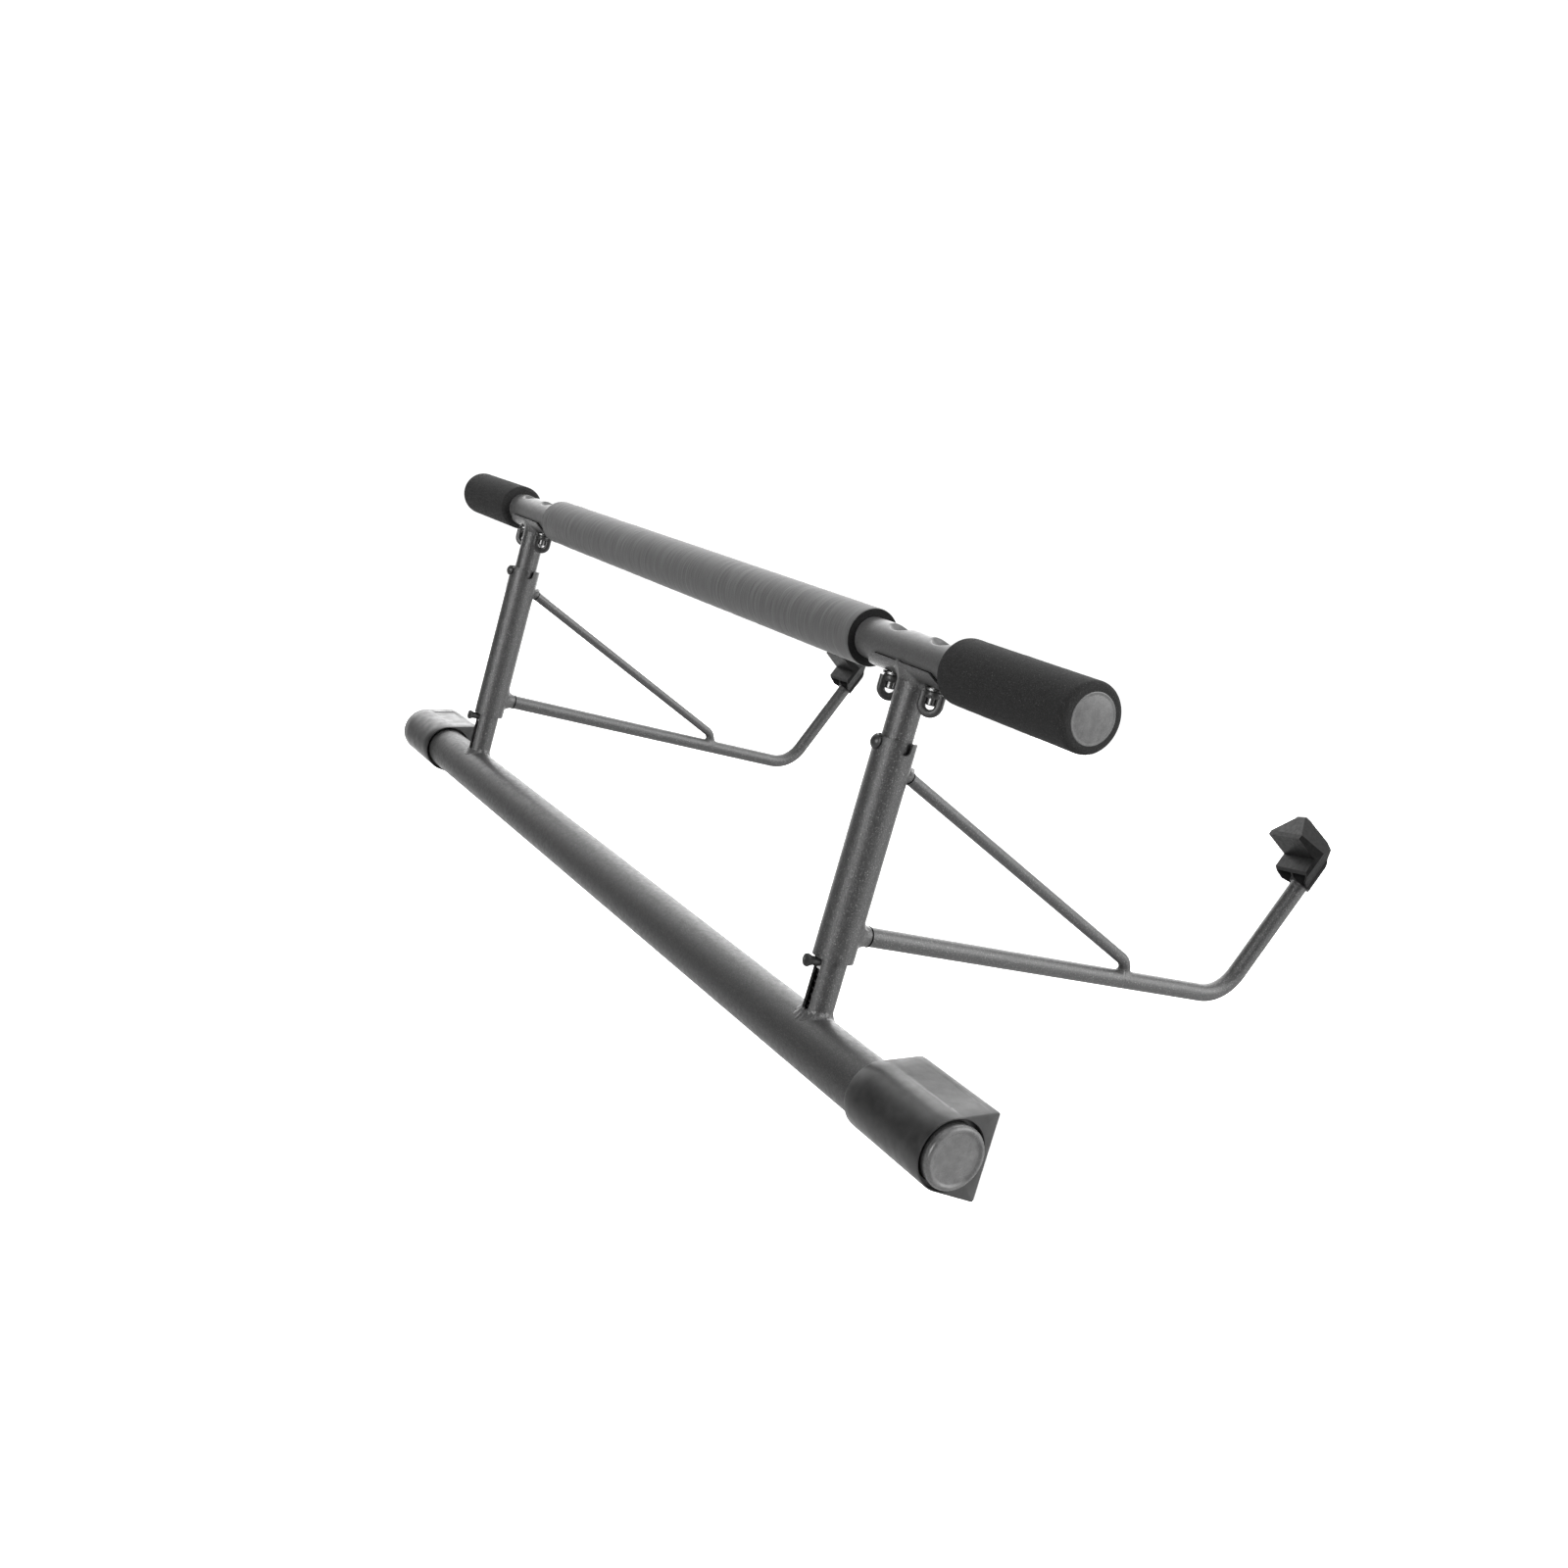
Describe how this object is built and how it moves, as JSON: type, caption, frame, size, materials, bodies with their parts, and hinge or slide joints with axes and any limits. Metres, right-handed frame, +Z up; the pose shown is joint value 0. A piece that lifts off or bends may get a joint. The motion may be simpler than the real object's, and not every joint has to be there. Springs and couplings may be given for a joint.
{
  "type": "pull up bar",
  "caption": "Doorway pull up bar: foam-covered bar above a padded lower bar, with lockable swing-in arms that hook over the door trim.",
  "frame": {"origin": "midway between the two door pads, on the plane of their flat contact faces, level with the lower bar's axis", "axes": "+X along the bars to the user's right, +Y through the doorway towards the hooks, +Z up along the uprights"},
  "size_m": [0.94, 0.393, 0.281],
  "materials": {
    "satin_paint": "satin grey powder coat",
    "speckled_paint": "dark hammertone with fine pale speckles",
    "zinc_steel": "bright zinc plate",
    "dark_steel": "blackened",
    "cap_plastic": "semi-gloss",
    "grey_foam": "matt closed-cell foam",
    "black_foam": "matt closed-cell foam with fine grain",
    "white_nylon": "natural",
    "hook_plastic": "moulded, satin",
    "pad_plastic": "semi-gloss moulded",
    "pale_liner": "soft, matt"
  },
  "bodies": {
    "frame": {"pull_bar_tube": "satin_paint", "centre_foam_grip": "grey_foam", "left_hand_grip": "black_foam", "right_hand_grip": "black_foam", "left_bar_cap": "cap_plastic", "right_bar_cap": "cap_plastic", "left_saddle": "speckled_paint", "right_saddle": "speckled_paint", "left_upright_tube": "speckled_paint", "right_upright_tube": "speckled_paint", "left_upright_welds": "speckled_paint", "right_upright_welds": "speckled_paint", "lower_bar_tube": "speckled_paint", "left_base_cap": "cap_plastic", "right_base_cap": "cap_plastic", "left_lock_pin": "zinc_steel", "right_lock_pin": "zinc_steel", "left_saddle_bolts": "zinc_steel", "right_saddle_bolts": "zinc_steel", "left_saddle_washers": "zinc_steel", "right_saddle_washers": "zinc_steel"},
    "left_release": {"left_lock_crown": "speckled_paint", "left_plunger_pin": "zinc_steel", "left_plunger_block": "white_nylon", "left_release_spring": "zinc_steel"},
    "left_arm": {"left_sleeve": "speckled_paint", "left_sleeve_bushes": "white_nylon", "left_arm_rod": "speckled_paint", "left_brace_rod": "speckled_paint", "left_arm_welds": "speckled_paint"},
    "left_hook": {"left_trim_hook": "hook_plastic"},
    "left_pad": {"left_door_pad": "pad_plastic", "left_pad_liner": "pale_liner"},
    "right_release": {"right_lock_crown": "speckled_paint", "right_plunger_pin": "zinc_steel", "right_plunger_block": "white_nylon", "right_release_spring": "zinc_steel"},
    "right_arm": {"right_sleeve": "speckled_paint", "right_sleeve_bushes": "white_nylon", "right_arm_rod": "speckled_paint", "right_brace_rod": "speckled_paint", "right_arm_welds": "speckled_paint"},
    "right_hook": {"right_trim_hook": "hook_plastic"},
    "right_pad": {"right_door_pad": "pad_plastic", "right_pad_liner": "pale_liner"},
    "left_outer_nut": {"left_outer_wing_nut": "dark_steel"},
    "left_inner_nut": {"left_inner_wing_nut": "dark_steel"},
    "right_inner_nut": {"right_inner_wing_nut": "dark_steel"},
    "right_outer_nut": {"right_outer_wing_nut": "dark_steel"}
  },
  "joints": [
    {"name": "left_release_slide", "type": "slide", "parent": "frame", "child": "left_release", "axis": [0, 0, -1], "range_m": [0, 0.012], "stiffness_N_per_m": 800, "springref_m": -0.02, "deforming": ["left_release_spring"]},
    {"name": "left_arm_fold", "type": "hinge", "parent": "left_release", "child": "left_arm", "pos_m": [-0.3125, -0.0265, 0.1], "axis": [0, 0, 1], "range_deg": [-86, 0]},
    {"name": "left_hook_swivel", "type": "hinge", "parent": "left_arm", "child": "left_hook", "pos_m": [-0.3125, 0.33445, 0.15451], "axis": [0, 0.4226, 0.9063], "range_deg": [-38, 52]},
    {"name": "left_pad_swivel", "type": "hinge", "parent": "frame", "child": "left_pad", "pos_m": [-0.4275, -0.0265, 0], "axis": [1, 0, 0], "continuous": true},
    {"name": "right_release_slide", "type": "slide", "parent": "frame", "child": "right_release", "axis": [0, 0, -1], "range_m": [0, 0.012], "stiffness_N_per_m": 800, "springref_m": -0.02, "deforming": ["right_release_spring"]},
    {"name": "right_arm_fold", "type": "hinge", "parent": "right_release", "child": "right_arm", "pos_m": [0.3125, -0.0265, 0.1], "axis": [0, 0, 1], "range_deg": [0, 90]},
    {"name": "right_hook_swivel", "type": "hinge", "parent": "right_arm", "child": "right_hook", "pos_m": [0.3125, 0.33445, 0.15451], "axis": [0, 0.4226, 0.9063], "range_deg": [-25, 65]},
    {"name": "right_pad_swivel", "type": "hinge", "parent": "frame", "child": "right_pad", "pos_m": [0.4275, -0.0265, 0], "axis": [1, 0, 0], "continuous": true},
    {"name": "left_outer_nut_spin", "type": "hinge", "parent": "frame", "child": "left_outer_nut", "pos_m": [-0.3345, -0.0265, 0.216], "axis": [0, 0, 1], "continuous": true},
    {"name": "left_inner_nut_spin", "type": "hinge", "parent": "frame", "child": "left_inner_nut", "pos_m": [-0.2905, -0.0265, 0.216], "axis": [0, 0, 1], "continuous": true},
    {"name": "right_inner_nut_spin", "type": "hinge", "parent": "frame", "child": "right_inner_nut", "pos_m": [0.2905, -0.0265, 0.216], "axis": [0, 0, 1], "continuous": true},
    {"name": "right_outer_nut_spin", "type": "hinge", "parent": "frame", "child": "right_outer_nut", "pos_m": [0.3345, -0.0265, 0.216], "axis": [0, 0, 1], "continuous": true}
  ]
}
